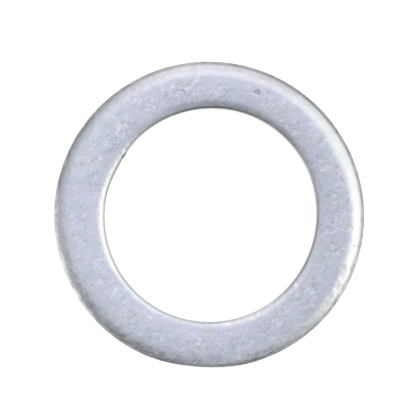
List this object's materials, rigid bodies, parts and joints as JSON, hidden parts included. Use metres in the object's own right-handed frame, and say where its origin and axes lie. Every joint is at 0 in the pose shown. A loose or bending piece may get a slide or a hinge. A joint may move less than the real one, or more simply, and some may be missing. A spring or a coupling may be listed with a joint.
{
  "type": "sealing washer",
  "caption": "Flat stamped aluminium ring with softly rolled upper edges, squeezed under a screw plug or banjo bolt to seal its joint against oil and fuel.",
  "frame": {"origin": "centre of the ring on its lower face, the one it lies on", "axes": "+Z along the ring's axis, from the lower face to the upper face with the rolled edges; X and Y are any two directions across the ring"},
  "size_m": [0.0178, 0.0178, 0.0015],
  "materials": {
    "tumbled_aluminium": "tumbled satin with fine scratches and burnished edges"
  },
  "bodies": {
    "root": {"sealing_washer": "tumbled_aluminium"}
  },
  "joints": []
}
